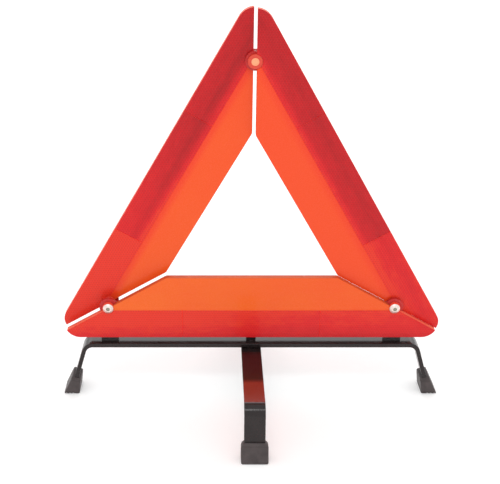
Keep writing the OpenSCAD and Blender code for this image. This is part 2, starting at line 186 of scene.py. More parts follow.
class Tree:
    """A material's node tree, with short ways to add nodes."""

    def __init__(self, name):
        self.mat = bpy.data.materials.new(name)
        self.mat.use_nodes = True
        self.nt = self.mat.node_tree
        self.nt.nodes.clear()
        self.out = self.add("ShaderNodeOutputMaterial")
        self.bsdf = self.add("ShaderNodeBsdfPrincipled")
        self.link(self.bsdf.outputs[0], self.out.inputs["Surface"])

    def add(self, kind, **props):
        node = self.nt.nodes.new(kind)
        for key, value in props.items():
            setattr(node, key, value)
        return node

    def link(self, output, socket):
        self.nt.links.new(output, socket)

    def put(self, socket, value):
        """Sets a socket, or links it where value is another node's output."""
        if isinstance(value, bpy.types.NodeSocket):
            self.link(value, socket)
        else:
            socket.default_value = value

    def math(self, op, a, b=0.0, c=0.0, clamp=False):
        node = self.add("ShaderNodeMath", operation=op, use_clamp=clamp)
        for socket, value in zip(node.inputs, (a, b, c)):
            self.put(socket, value)
        return node.outputs[0]

    def spread(self, fac, low, high):
        """Maps a 0..1 factor to low..high."""
        return self.math("MULTIPLY_ADD", fac, high - low, low)

    def sway(self, value, noise, size, clamp=False):
        """Adds a noise to a value, centred and scaled to size."""
        return self.math("ADD", value, self.spread(noise, -size / 2, size / 2), clamp=clamp)

    def vector(self, op, a, b):
        node = self.add("ShaderNodeVectorMath", operation=op)
        self.put(node.inputs[0], a)
        self.put(node.inputs[1], b)
        return node.outputs["Value" if op == "DOT_PRODUCT" else "Vector"]

    def at(self):
        return self.add("ShaderNodeAttribute", attribute_name="at").outputs["Vector"]

    def split(self, vec):
        """The outputs "X", "Y" and "Z" of a vector."""
        node = self.add("ShaderNodeSeparateXYZ")
        self.link(vec, node.inputs[0])
        return node.outputs

    def noise(self, vec, scale, detail, rough, stretch=None):
        if stretch is not None:
            vec = self.vector("MULTIPLY", vec, stretch)
        node = self.add("ShaderNodeTexNoise")
        self.link(vec, node.inputs["Vector"])
        node.inputs["Scale"].default_value = scale
        node.inputs["Detail"].default_value = detail
        node.inputs["Roughness"].default_value = rough
        return node.outputs["Fac"]

    def ramp(self, fac, stops):
        """A colour ramp through stops of (position, colour or grey)."""
        node = self.add("ShaderNodeValToRGB")
        elements = node.color_ramp.elements
        while len(elements) < len(stops):
            elements.new(0.5)
        for element, (position, colour) in zip(elements, stops):
            rgb = colour if isinstance(colour, tuple) else (colour,) * 3
            element.position = position
            element.color = (*rgb, 1)
        self.link(fac, node.inputs["Fac"])
        return node.outputs["Color"]

    def mix(self, fac, a, b, blend="MIX"):
        node = self.add("ShaderNodeMix", data_type="RGBA", blend_type=blend)
        self.put(node.inputs["Factor"], fac)
        for socket, value in ((node.inputs[6], a), (node.inputs[7], b)):
            self.put(socket, (*value, 1) if isinstance(value, tuple) else value)
        return node.outputs[2]

    def bump(self, height, distance, strength):
        node = self.add("ShaderNodeBump")
        node.inputs["Distance"].default_value = distance
        node.inputs["Strength"].default_value = strength
        self.link(height, node.inputs["Height"])
        return node.outputs[0]

    def set(self, **sockets):
        """Sets the shader's sockets, named with _ for a space. Returns the material."""
        for key, value in sockets.items():
            self.put(self.bsdf.inputs[key.replace("_", " ")], value)
        return self.mat


# ---- Materials ----


def cube_corners(t, at):
    """Height of an array of cube-corner prisms: triangular pyramids that fill the plane."""
    waves = []
    for a in (90, 210, 330):
        across = t.vector("DOT_PRODUCT", at, (cos(a) / CELL, sin(a) / CELL, 0))
        waves.append(t.math("FRACT", t.math("ADD", across, 100.0)))
    total = t.math("ADD", t.math("ADD", waves[0], waves[1]), waves[2])
    flip = t.math("GREATER_THAN", total, 1.5)
    # a wave counts as it is where the triangle points up, and as 1 - wave where it points down
    sides = [t.math("ABSOLUTE", t.math("SUBTRACT", wave, flip)) for wave in waves]
    return t.math("MINIMUM", t.math("MINIMUM", sides[0], sides[1]), sides[2])


def lens_material(name, profile, field):
    """Red reflector plastic. profile gives the painted light and shade across the band, and a
    point attribute the painted light and shade along it; field says whether prisms lie behind the
    surface."""
    t = Tree(name)
    at = t.at()
    # The point attribute and the ramp across the band carry painted light and shade along and
    # across the lens
    painted_shade = t.add("ShaderNodeAttribute", attribute_name="painted_shade").outputs["Fac"]
    across = t.ramp(t.math("DIVIDE", t.split(at)["Y"], RED_W), profile)
    streak = t.noise(at, 0.06, 4.0, 0.6, (1.0, 2.6, 1.0))
    grain = t.noise(at, 0.5, 3.0, 0.6, (0.35, 1.0, 1.0))
    shade = t.math("ADD", painted_shade, t.math("SUBTRACT", across, 0.5))
    shade = t.sway(shade, streak, 0.34)
    shade = t.sway(shade, grain, 0.20, clamp=True)
    colour = t.ramp(shade, [
        (0.0, (0.330, 0.008, 0.010)),
        (0.35, (0.490, 0.009, 0.013)),
        (0.65, (0.690, 0.012, 0.017)),
        (0.85, (0.800, 0.018, 0.020)),
        (1.0, (0.880, 0.040, 0.020)),
    ])
    if field:
        cells = cube_corners(t, at)
        # The colour is darkened where the prisms dip: painted shade in their valleys, besides the
        # bump
        colour = t.mix(1.0, colour, t.math("ADD", cells, 0.72, clamp=True), "MULTIPLY")
        t.set(Normal=t.bump(cells, 0.0012, 0.35), Roughness=0.30)
    else:
        t.set(Roughness=t.spread(grain, 0.16, 0.30))
    return t.set(Base_Color=colour, Specular_IOR_Level=0.18, Coat_Weight=0.16, Coat_Roughness=0.06)


def edge_material(name, dark, light):
    """A plastic part's cut edge, in a colour of its own: on the lens a painted glow and highlight,
    far lighter than its face; on the panel darker than its face.
    """
    t = Tree(name)
    at = t.at()
    slow = t.noise(at, 0.08, 3.0, 0.6)
    fine = t.noise(at, 1.5, 3.0, 0.6)
    return t.set(
        Base_Color=t.ramp(slow, [(0.3, dark), (0.75, light)]),
        Roughness=t.spread(fine, 0.45, 0.60),
        Normal=t.bump(fine, 0.0003, 0.15),
        Specular_IOR_Level=0.12,
    )


def panel_material(name, start, end, gradient, red):
    """Fluorescent panel: smooth plastic whose colour goes from start to end with slow shifts and
    faint flow lines. It is redder near the lens, which its light crosses."""
    t = Tree(name)
    at = t.at()
    place = t.split(at)
    slow = t.noise(at, 0.012, 2.0, 0.5)
    flow = t.noise(at, 0.11, 3.0, 0.55, (0.5, 2.0, 1.0))
    shade = t.math("MULTIPLY_ADD", place["X"], gradient / SIDE, 0.5)
    shade = t.sway(shade, slow, 0.7)
    shade = t.sway(shade, flow, 0.3, clamp=True)
    near = t.ramp(t.math("DIVIDE", place["Y"], BAND_W), [(0.50, red), (0.58, 0.0)])
    fine = t.noise(at, 1.3, 2.0, 0.5)
    return t.set(
        Base_Color=t.mix(near, t.ramp(shade, [(0.0, start), (1.0, end)]), (0.80, 0.030, 0.016)),
        Roughness=t.spread(fine, 0.20, 0.34),
        Normal=t.bump(flow, 0.0004, 0.10),
        Specular_IOR_Level=0.18,
        Coat_Weight=0.16,
        Coat_Roughness=0.08,
    )


def moulded_material(name, dark, light, rough):
    """Moulded plastic with a fine eroded grain and slow colour shifts."""
    t = Tree(name)
    at = t.at()
    slow = t.noise(at, 0.03, 3.0, 0.6)
    fine = t.noise(at, 2.4, 4.0, 0.65)
    both = t.math("MULTIPLY_ADD", fine, 0.3, t.math("MULTIPLY", slow, 0.7), clamp=True)
    return t.set(
        Base_Color=t.ramp(both, [(0.25, dark), (0.75, light)]),
        Roughness=t.spread(fine, rough - 0.08, rough + 0.10),
        Normal=t.bump(fine, 0.06, 0.25),
    )


def paint_material(name, gloss_and_red_reflection):
    """Gloss black paint on steel: orange peel, dust and fine rubbed marks. The last argument, 0 to
    1, is how much glossier a strip's outer stretches are and how much painted red reflection they
    carry."""
    t = Tree(name)
    at = t.at()
    peel = t.noise(at, 0.55, 2.0, 0.5)
    dust = t.noise(at, 0.08, 5.0, 0.7)
    rub = t.noise(at, 0.9, 4.0, 0.7, (0.12, 1.6, 1.0))
    worn = t.math("MULTIPLY", t.ramp(rub, [(0.62, 0.0), (0.80, 1.0)]), 0.35)
    black = t.ramp(dust, [(0.3, (0.010, 0.006, 0.006)), (0.8, (0.020, 0.013, 0.013))])
    reach = t.math("DIVIDE", t.math("ABSOLUTE", t.split(at)["X"]), 200.0)
    outer = t.ramp(reach, [(0.0, 0.0), (0.40, 0.0), (0.44, 1.0), (0.625, 1.0), (0.64, 0.0)])
    gloss_and_painted_reflection = t.math("MULTIPLY", outer, gloss_and_red_reflection)
    colour = t.mix(worn, black, (0.050, 0.040, 0.038))
    return t.set(
        # The red mixed in on the outer stretches is a painted reflection of the red triangle; the
        # coat's gloss there is real
        Base_Color=t.mix(gloss_and_painted_reflection, colour, (0.120, 0.005, 0.014)),
        Roughness=t.spread(dust, 0.14, 0.30),
        Normal=t.bump(peel, 0.0006, 0.12),
        Specular_IOR_Level=0.3,
        Coat_Weight=t.spread(gloss_and_painted_reflection, 0.25, 1.0),
        Coat_IOR=t.spread(gloss_and_painted_reflection, 1.4, 1.9),
        Coat_Roughness=0.10,
    )


def rubber_material(name):
    """Matt black rubber, finely pitted."""
    t = Tree(name)
    at = t.at()
    slow = t.noise(at, 0.07, 4.0, 0.65)
    fine = t.noise(at, 1.8, 5.0, 0.7)
    pits = t.add("ShaderNodeTexVoronoi")
    t.link(at, pits.inputs["Vector"])
    pits.inputs["Scale"].default_value = 1.1
    height = t.math("MULTIPLY_ADD", pits.outputs["Distance"], 0.5, fine)
    return t.set(
        Base_Color=t.ramp(slow, [(0.3, (0.040, 0.030, 0.030)), (0.75, (0.080, 0.062, 0.062))]),
        Roughness=t.spread(fine, 0.55, 0.80),
        Normal=t.bump(height, 0.0006, 0.22),
        Sheen_Weight=0.15,
        Sheen_Roughness=0.4,
    )


def metal_material(name, dark, light, smooth, rough):
    """Plated or formed metal with fine rings about the local Z, the axis of a turned piece. Its
    roughness lies between smooth and rough."""
    t = Tree(name)
    at = t.at()
    fine = t.noise(at, 1.6, 4.0, 0.65)
    slow = t.noise(at, 0.25, 3.0, 0.6)
    flat = t.vector("MULTIPLY", at, (1.0, 1.0, 0.0))
    radius = t.math("SQRT", t.vector("DOT_PRODUCT", flat, flat))
    rings = t.math("SINE", t.math("MULTIPLY", radius, 26.0))
    return t.set(
        Base_Color=t.ramp(slow, [(0.3, dark), (0.75, light)]),
        Metallic=1.0,
        Roughness=t.spread(fine, smooth, rough),
        Normal=t.bump(t.math("MULTIPLY_ADD", rings, 0.25, fine), 0.0003, 0.10),
    )


# Painted light and shade across a lens, from its outer edge (0) to its inner edge (1); 0.5 leaves
# the shade along it as it is
LENS_PAINTED_SHADE_ACROSS = {
    "bar": [(0.0, 0.38), (0.10, 0.42), (0.20, 0.50), (0.34, 0.50), (0.48, 0.60), (0.62, 0.60),
            (0.77, 0.62), (0.88, 0.68), (1.0, 0.68)],
    "left": [(0.0, 0.66), (0.20, 0.64), (0.34, 0.60), (0.48, 0.58), (0.62, 0.44), (0.77, 0.56),
             (0.88, 0.78), (1.0, 0.98)],
    "right": [(0.0, 0.52), (0.20, 0.47), (0.34, 0.42), (0.48, 0.50), (0.62, 0.52), (0.77, 0.58),
              (0.88, 0.80), (1.0, 0.94)],
}
# Painted light and shade along a lens, darker towards the apex on the side arms: at the two ends
# of each of its three fields, from -u to +u
FIELD_PAINTED_SHADE = {
    "bar": ((0.94, 0.94), (0.92, 0.76), (0.80, 0.78)),
    "left": ((0.32, 0.44), (0.34, 0.72), (1.10, 1.06)),
    "right": ((0.90, 0.84), (0.52, 0.50), (0.50, 0.46)),
}
LENS_FIELD = {a: lens_material("lens_field_" + a, p, True) for a, p in LENS_PAINTED_SHADE_ACROSS.items()}
LENS_BORDER = {a: lens_material("lens_border_" + a, p, False) for a, p in LENS_PAINTED_SHADE_ACROSS.items()}
# Painted glow and highlight on the lens's cut edges
LENS_EDGE_PAINTED_GLOW = edge_material("lens_edge_painted_glow", (0.84, 0.130, 0.075), (0.92, 0.200, 0.120))
PANEL = {
    "bar": panel_material("panel_bar", (0.83, 0.145, 0.016), (0.82, 0.085, 0.016), 0.9, 0.0),
    "left": panel_material("panel_left", (0.84, 0.070, 0.015), (0.83, 0.108, 0.015), 0.8, 0.55),
    "right": panel_material("panel_right", (0.83, 0.076, 0.016), (0.83, 0.070, 0.016), 0.4, 0.35),
}
PANEL_EDGE = edge_material("panel_edge", (0.56, 0.095, 0.030), (0.68, 0.130, 0.040))
COVER = moulded_material("cover_red", (0.46, 0.014, 0.014), (0.60, 0.022, 0.020), 0.42)
# Lighter copies of the cover's red plastic for its bosses: painted light, brightest on the lower
# bosses where shade falls round the rivets
BOSS_PAINTED_LIGHT = moulded_material("boss_red_painted_light", (0.88, 0.060, 0.030), (0.96, 0.090, 0.040), 0.45)
APEX_BOSS_PAINTED_LIGHT = moulded_material("apex_boss_red_painted_light", (0.67, 0.044, 0.021), (0.74, 0.062, 0.027), 0.40)
SOCKET = moulded_material("socket_red", (0.60, 0.06, 0.04), (0.75, 0.09, 0.06), 0.30)
# Light orange on the stud: a painted highlight on a head of red plastic
STUD_PAINTED_HIGHLIGHT = moulded_material("stud_painted_highlight", (0.94, 0.33, 0.15), (0.99, 0.42, 0.22), 0.30)
SPACER = moulded_material("spacer_red", (0.36, 0.02, 0.015), (0.46, 0.03, 0.02), 0.45)
NYLON = moulded_material("nylon", (0.62, 0.56, 0.42), (0.74, 0.69, 0.55), 0.40)
BLACK_PLASTIC = moulded_material("black_plastic", (0.016, 0.013, 0.013), (0.028, 0.024, 0.023),
                                 0.42)
PAINT = paint_material("black_paint", 0.0)
# Its outer stretches carry a painted red reflection of the triangle
PAINT_RED_REFLECTION = paint_material("black_paint_painted_reflection", 1.0)
RUBBER = rubber_material("boot_rubber")
RIVET = metal_material("rivet_aluminium", (0.80, 0.66, 0.60), (0.92, 0.82, 0.77), 0.30, 0.46)
# A darker copy of the rivet metal for the bore: painted shade inside it
HOLLOW_PAINTED_SHADE = metal_material("rivet_hollow_painted_shade", (0.30, 0.29, 0.22), (0.42, 0.40, 0.32), 0.40, 0.60)
STEEL = metal_material("zinc_steel", (0.50, 0.50, 0.52), (0.66, 0.66, 0.68), 0.28, 0.45)

# ---- Mesh helpers ----


def prism(bm, outline, low, high, side_mat=0):
    """Adds a closed prism over a counter-clockwise outline. Returns its lower and upper face."""
    bottom = [bm.verts.new((x, y, low)) for x, y in outline]
    top = [bm.verts.new((x, y, high)) for x, y in outline]
    caps = [bm.faces.new(bottom[::-1]), bm.faces.new(top)]
    for i in range(len(outline)):
        j = (i + 1) % len(outline)
        bm.faces.new((bottom[i], bottom[j], top[j], top[i])).material_index = side_mat
    return caps


def step_in(bm, face, width, depth, mat=0):
    """Insets a face, then moves it by depth along its normal and gives it a material."""
    bmesh.ops.inset_region(
        bm, faces=[face], thickness=width, depth=0.0, use_even_offset=True, use_boundary=True
    )
    bmesh.ops.inset_region(
        bm, faces=[face], thickness=abs(depth) * 0.35, depth=depth, use_even_offset=True,
        use_boundary=True,
    )
    face.material_index = mat


def lathe(bm, profile, steps, centre=(0, 0), mat=0, mats=None):
    """Turns a profile of (radius, z) about a vertical axis through centre. A radius of 0 closes
    to a point. mats, where it is given, holds a material for each stretch of the profile."""
    rings = []
    for r, z in profile:
        angles = [360 * i / steps for i in range(steps if r else 1)]
        rings.append(
            [bm.verts.new((centre[0] + r * cos(a), centre[1] + r * sin(a), z)) for a in angles]
        )
    for k, (a, b) in enumerate(zip(rings, rings[1:])):
        for i in range(steps):
            j = (i + 1) % steps
            if len(a) == 1:
                corners = (a[0], b[j], b[i])
            elif len(b) == 1:
                corners = (a[i], a[j], b[0])
            else:
                corners = (a[i], a[j], b[j], b[i])
            bm.faces.new(corners).material_index = mats[k] if mats else mat
    if profile[0] == profile[-1]:
        bmesh.ops.remove_doubles(bm, verts=rings[0] + rings[-1], dist=1e-5)


def loft(bm, rings):
    """Joins closed rings of points, all the same length, into a tube with capped ends."""
    made = [[bm.verts.new(p) for p in ring] for ring in rings]
    count = len(made[0])
    for a, b in zip(made, made[1:]):
        for i in range(count):
            j = (i + 1) % count
            bm.faces.new((a[i], a[j], b[j], b[i]))
    bm.faces.new(made[0][::-1])
    bm.faces.new(made[-1])


def box_solid(bm, low, high):
    outline = [(low[0], low[1]), (high[0], low[1]), (high[0], high[1]), (low[0], high[1])]
    prism(bm, outline, low[2], high[2])


def link(name, data, matrix=None):
    ob = bpy.data.objects.new(name, data)
    bpy.context.scene.collection.objects.link(ob)
    if matrix is not None:
        ob.matrix_world = matrix
    return ob


def subtract(ob, cutter_bm):
    """Cuts a closed cutter out of a piece, in the piece's own frame."""
    me = bpy.data.meshes.new("cutter")
    bmesh.ops.recalc_face_normals(cutter_bm, faces=cutter_bm.faces)
    cutter_bm.to_mesh(me)
    cutter_bm.free()
    me.transform(Matrix.Scale(MM, 4))
    cutter = link("cutter", me, ob.matrix_world)
    mod = ob.modifiers.new("cut", "BOOLEAN")
    mod.operation = "DIFFERENCE"
    mod.solver = "EXACT"
    mod.object = cutter
    apply_modifiers(ob)
    bpy.data.objects.remove(cutter)


def round_edges(ob, width):
    mod = ob.modifiers.new("edges", "BEVEL")
    mod.width = width * MM
    mod.segments = 2
    mod.limit_method = "ANGLE"
    mod.angle_limit = math.radians(35)
    mod.use_clamp_overlap = True
    mod.miter_outer = "MITER_ARC"
    apply_modifiers(ob)


def shade_smooth(ob):
    """Smooth shading with sharp edges kept, weighted so that flat faces stay flat."""
    me = ob.data
    me.polygons.foreach_set("use_smooth", [True] * len(me.polygons))
    me.set_sharp_from_angle(angle=math.radians(46))
    mod = ob.modifiers.new("shade", "WEIGHTED_NORMAL")
    mod.keep_sharp = True
    mod.weight = 60
    apply_modifiers(ob)


def apply_modifiers(ob):
    bpy.context.view_layer.update()
    dg = bpy.context.evaluated_depsgraph_get()
    made = bpy.data.meshes.new_from_object(
        ob.evaluated_get(dg), preserve_all_data_layers=True, depsgraph=dg
    )
    ob.modifiers.clear()
    ob.data = made


def piece(node, bm, mats, body, matrix=None, bevel=0.0, cut=None):
    """Makes the finished piece for a CAD node from a bmesh in millimetres."""
    name = node + "_detailed"
    bmesh.ops.recalc_face_normals(bm, faces=bm.faces)
    me = bpy.data.meshes.new(name)
    bm.to_mesh(me)
    bm.free()
    me.transform(Matrix.Scale(MM, 4))
    for mat in mats:
        me.materials.append(mat)
    ob = link(name, me, matrix)
    if cut is not None:
        subtract(ob, cut)
    if bevel:
        round_edges(ob, bevel)
    shade_smooth(ob)
    ob.data.name = name
    at = ob.data.attributes.new("at", "FLOAT_VECTOR", "POINT")
    at.data.foreach_set("vector", [c / MM for v in ob.data.vertices for c in v.co])
    ob.data.transform(ob.matrix_world)
    ob.matrix_world = Matrix.Identity(4)
    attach(ob, body)
    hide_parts(node)
    return ob


# ---- Outlines of the arms ----


def arm_matrix(arm):
    """From an arm's own frame, u along X, v along Y and its front up Z, to the row frame."""
    angle, back_y = ARMS[arm][:2]
    return (
        Matrix.Translation((0, back_y * MM, CENTRE_Z * MM))
        @ Matrix.Rotation(math.radians(90), 4, "X")
        @ Matrix.Rotation(math.radians(angle), 4, "Z")
        @ Matrix.Translation((0, -CENTRE_H * MM, 0))
    )


def arc(cx, cy, r, a, b, step=5.0):
    n = max(2, int(abs(b - a) / step) + 1)
    return [(cx + r * cos(a + (b - a) * i / n), cy + r * sin(a + (b - a) * i / n))
            for i in range(n + 1)]


def mitre_u(v, gap):
    """The u at which an end stops, at v."""
    return SIDE / 2 - v * SQRT3 - 2 * gap


def lean(gap, r):
    """The angle by which a circle about the mitre line meets an end early."""
    return math.degrees(math.asin(gap / r))


def outer_corner(end):
    """The rounded outer corner at +u, from the outer edge to the mitre."""
    gap, _, r = end
    return arc(SIDE / 2 - r * SQRT3, r, r, -90, -30 - lean(gap, r))


def inner_corner(gap):
    """The rounded corner at +u between the mitre and the inner edge."""
    r = INNER_CORNER_R
    return arc(mitre_u(BAND_W, gap) - r * tan(15), BAND_W - r, r, 60, 90, 10)


def lens_end(end):
    """A lens's end at +u, from the outer edge to the red band's edge, notched for the boss."""
    gap, boss = end[:2]
    r = boss + NOTCH_GAP
    top = -180 + math.degrees(math.asin((PIVOT_V - RED_W) / r))
    return outer_corner(end) + arc(PIVOT_U, PIVOT_V, r, -30 - lean(gap, r), top, 8)


def panel_end(end):
    """A panel's end at +u, from the red band's edge to the inner edge, notched for the boss."""
    gap, boss = end[:2]
    r = boss + NOTCH_GAP
    top = 180 + math.degrees(math.asin((PIVOT_V - RED_W) / r))
    return arc(PIVOT_U, PIVOT_V, r, top, 150 + lean(gap, r), 8) + inner_corner(gap)


def cover_end(end):
    return outer_corner(end) + inner_corner(end[0])


def ear_outline(gap):
    """The part of an ear past the mitre, closed a little inside the boss."""
    inner_r = EAR_R * 0.86
    inside = [(PIVOT_U + inner_r * cos(a) - 3 * cos(60), PIVOT_V + inner_r * sin(a) - 3 * sin(60))
              for a in (150, -30)]
    return arc(PIVOT_U, PIVOT_V, EAR_R, -30 - lean(gap, EAR_R), 150 + lean(gap, EAR_R), 6) + inside


def mirrored(points):
    return [(-x, y) for x, y in points][::-1]


def outline_of(maker, neg, pos):
    return maker(pos) + mirrored(maker(neg))


def field_outlines(neg, pos):
    """The three reflector fields of a lens, parted by narrow grooves."""
    near = FIELD_U - GROOVE_W / 2
    far = FIELD_U + GROOVE_W / 2
    return [
        [(-far, RED_W)] + mirrored(lens_end(neg)) + [(-far, 0.0)],
        [(-near, 0.0), (near, 0.0), (near, RED_W), (-near, RED_W)],
        [(far, 0.0)] + lens_end(pos) + [(far, RED_W)],
    ]


def ccw(points):
    """An outline's points in counter-clockwise order."""
    area = sum(a[0] * b[1] - b[0] * a[1] for a, b in zip(points, points[1:] + points[:1]))
    return points if area > 0 else points[::-1]


# ---- Arms ----


def painted_shade_at(arm, u):
    """The painted light and shade at u along a lens, even in steps within each of its three
    fields.
    """
    stops = (-SIDE / 2, -FIELD_U, FIELD_U, SIDE / 2)
    for (a, b), u0, u1 in zip(FIELD_PAINTED_SHADE[arm], stops, stops[1:]):
        if u <= u1 or u1 == stops[-1]:
            return a + (b - a) * (u - u0) / (u1 - u0)


def make_lens(arm):
    neg, pos, body = ARMS[arm][2:]
    bm = bmesh.new()
    groove_z = ARM_T - FIELD_H
    prism(bm, ccw(outline_of(lens_end, neg, pos)), COVER_T, groove_z, side_mat=2)
    for outline in field_outlines(neg, pos):
        # a field reaches a little into the slab under it
        _, top = prism(bm, ccw(outline), groove_z - 0.1, ARM_T, side_mat=2)
        step_in(bm, top, FIELD_RIM, -FIELD_SINK, 1)
    mats = [LENS_BORDER[arm], LENS_FIELD[arm], LENS_EDGE_PAINTED_GLOW]
    me = piece(arm + "_lens", bm, mats, body, arm_matrix(arm), 0.16).data
    # Painted light and shade along the lens, stored per point
    painted_shade = me.attributes.new("painted_shade", "FLOAT", "POINT")
    painted_shade.data.foreach_set("value", [painted_shade_at(arm, d.vector[0]) for d in me.attributes["at"].data])


def make_panel(arm):
    neg, pos, body = ARMS[arm][2:]
    bm = bmesh.new()
    outline = ccw(outline_of(panel_end, neg, pos))
    _, top = prism(bm, outline, COVER_T, PANEL_FACE + PANEL_RIM, side_mat=1)
    step_in(bm, top, PANEL_RIM_W, -PANEL_RIM)
    piece(arm + "_panel", bm, [PANEL[arm], PANEL_EDGE], body, arm_matrix(arm), 0.16)


def add_ribs(bm, gap):
    """Stiffening ribs in a cover's recessed back."""
    half_t = RIB_T / 2
    for v in LONG_RIB_V:
        half = mitre_u(v, gap) - LONG_RIB_MITRE_GAP
        box_solid(bm, (-half, v - half_t, LONG_RIB_BACK), (half, v + half_t, RIB_TOP))
    for k in range(-4, 5):
        u = k * SHORT_RIB_PITCH
        mitre_v = (SIDE / 2 - abs(u)) / SQRT3
        end = min(BAND_W - SHORT_RIB_END, mitre_v - SHORT_RIB_MITRE_GAP)
        box_solid(bm, (u - half_t, SHORT_RIB_END, SHORT_RIB_BACK), (u + half_t, end, RIB_TOP))


def boss_profile(r):
    return [(0.0, 0.05), (r - 0.4, 0.05), (r, 0.45), (r, ARM_T - 0.5), (r - 0.15, ARM_T - 0.15),
            (r - 0.5, ARM_T), (0.0, ARM_T)]


def make_cover(arm):
    neg, pos, body = ARMS[arm][2:]
    bm = bmesh.new()
    back, _ = prism(bm, ccw(outline_of(cover_end, neg, pos)), 0.0, COVER_T)
    step_in(bm, back, BACK_RIM, -BACK_SINK)
    add_ribs(bm, max(neg[0], pos[0]))
    for s, end in ((-1, neg), (1, pos)):
        ear = [(s * x, y) for x, y in ear_outline(end[0])]
        prism(bm, ccw(ear), 0.0, EAR_T)
        # The bosses take the lighter copies of the cover's red: painted light
        mat = 2 if end is APEX_END else 1
        lathe(bm, boss_profile(end[1]), 56, (s * PIVOT_U, PIVOT_V), mat)
    mats = [COVER, BOSS_PAINTED_LIGHT, APEX_BOSS_PAINTED_LIGHT]
    piece(arm + "_cover", bm, mats, body, arm_matrix(arm), 0.12)


for arm_name in ARMS:
    make_lens(arm_name)
    make_panel(arm_name)
    make_cover(arm_name)

# ---- Pins, rivets and washers, turned about Z in their own frames ----


def towards_viewer(x, y, z):
    """A frame whose Z points at the viewer, -Y in the row frame."""
    return upright(x, y, z) @ Matrix.Rotation(math.radians(90), 4, "X")


def upright(x, y, z):
    return Matrix.Translation((x * MM, y * MM, z * MM))


def washer_profile(outer, inner, t, edge=0.15):
    return [(inner, edge), (inner + edge, 0), (outer - edge, 0), (outer, edge), (outer, t - edge),
            (outer - edge, t), (inner + edge, t), (inner, t - edge), (inner, edge)]


def dome_points(r, h, top, count, from_r=0.0):
    """Points of a low dome from its rim at z = top up to the radius from_r."""
    ball = (r * r + h * h) / (2 * h)
    pts = []
    for i in range(count + 1):
        x = from_r + (r - from_r) * (count - i) / count
        pts.append((x, top + h - ball + math.sqrt(ball * ball - x * x)))
    return pts


def head_below(r, h, top, count):
    """Points of a low dome that hangs from z = top, from its middle almost to its rim."""
    return [(x, top - z) for x, z in dome_points(r, h, 0.0, count)[:0:-1]]


def turned(node, profile, mats, body, matrix, face_mats=None):
    """Makes a piece that is turned about the Z of its frame."""
    bm = bmesh.new()
    lathe(bm, profile, 64, mats=face_mats)
    piece(node, bm, mats, body, matrix)


def make_rivet(side, x, washer_y):
    """A hollow rivet. z = 0 is the bar's front face: the head stands in front of it, and the tail
    behind a washer, whose back is at washer_y."""
    tail = BAR_FRONT - washer_y - 3 * FIT
    head = dome_points(6.0, 2.8, FIT, 10, 2.7)
    lip_z = head[-1][1]
    profile = head_below(5.0, 2.0, tail, 6) + [
        (5.0, tail), (SHANK_R, tail), (SHANK_R, FIT), (5.7, FIT), (5.95, FIT + 0.25)
    ] + head[1:] + [(2.4, lip_z + 0.02), (2.1, lip_z - 0.25)]
    # The bore takes the darker metal: painted shade in the hollow
    bore = [(2.0, 1.3), (1.6, 1.05), (0.0, 1.0)]
    turned(side + "_pivot_rivet", profile + bore, [RIVET, HOLLOW_PAINTED_SHADE], "base",
           towards_viewer(x, BAR_FRONT, PIVOT_Z), [0] * (len(profile) - 1) + [1] * len(bore))


def make_snap_stud():
    """A pin from the right arm's back, with a domed head on its front."""
    head_z = ARM_T + FIT
    profile = [(0, 0), (STUD_R - 0.3, 0), (STUD_R, 0.3), (STUD_R, head_z), (4.0, head_z),
               (4.2, head_z + 0.2)] + dome_points(4.2, 1.6, head_z, 8)[1:]
    turned("right_snap_stud", profile, [STUD_PAINTED_HIGHLIGHT], "right_arm",
           towards_viewer(0, RIGHT_BACK, APEX_Z))


PIVOTS = (("left", -PIVOT_U, LEFT_BACK), ("right", PIVOT_U, RIGHT_BACK))
PIN_BORE = SHANK_R + FIT
SPIGOT_BORE = SPIGOT_R + FIT
for side, x, back in PIVOTS:
    make_rivet(side, x, back + WASHER_T)
for side, x, back in PIVOTS:
    turned(side + "_pivot_washer", washer_profile(6.2, PIN_BORE, WASHER_T), [STEEL], "base",
           towards_viewer(x, back + FIT + WASHER_T, PIVOT_Z))
turned("left_pivot_spacer",
       washer_profile(5.5, PIN_BORE, ARM_T + 2 * (LAYER_GAP - FIT), 0.3), [SPACER], "base",
       towards_viewer(-PIVOT_U, RIGHT_BACK + LAYER_GAP - FIT, PIVOT_Z))
turned("right_pivot_shim", washer_profile(6.0, PIN_BORE, LAYER_GAP - 2 * FIT, 0.1), [NYLON],
       "base", towards_viewer(PIVOT_U, BAR_BACK + LAYER_GAP - FIT, PIVOT_Z))
make_snap_stud()
turned("left_snap_socket", washer_profile(5.0, STUD_R + 0.2, ARM_T - SOCKET_BACK, 0.3), [SOCKET],
       "left_arm", towards_viewer(0, LEFT_BACK - SOCKET_BACK, APEX_Z))
turned("friction_washer", washer_profile(9.0, SPIGOT_BORE, STRIP_GAP - 2 * FIT, 0.1), [NYLON],
       "base", upright(0, 0, CROSS_TOP + FIT))
turned("lower_washer", washer_profile(8.0, SPIGOT_BORE, WASHER_T), [STEEL], "base",
       upright(0, 0, CROSS_BOTTOM - FIT - WASHER_T))

# ---- Screws, post and supports ----


def cross_slot(bm, x, y, z0, z1, reach, width):
    """Adds a cross-shaped cutter."""
    a, b = reach, width / 2
    outline = [(b, b), (b, a), (-b, a), (-b, b), (-a, b), (-a, -b), (-b, -b), (-b, -a), (b, -a),
               (b, -b), (a, -b), (a, b)]
    prism(bm, ccw([(x + p, y + q) for p, q in outline]), z0, z1)


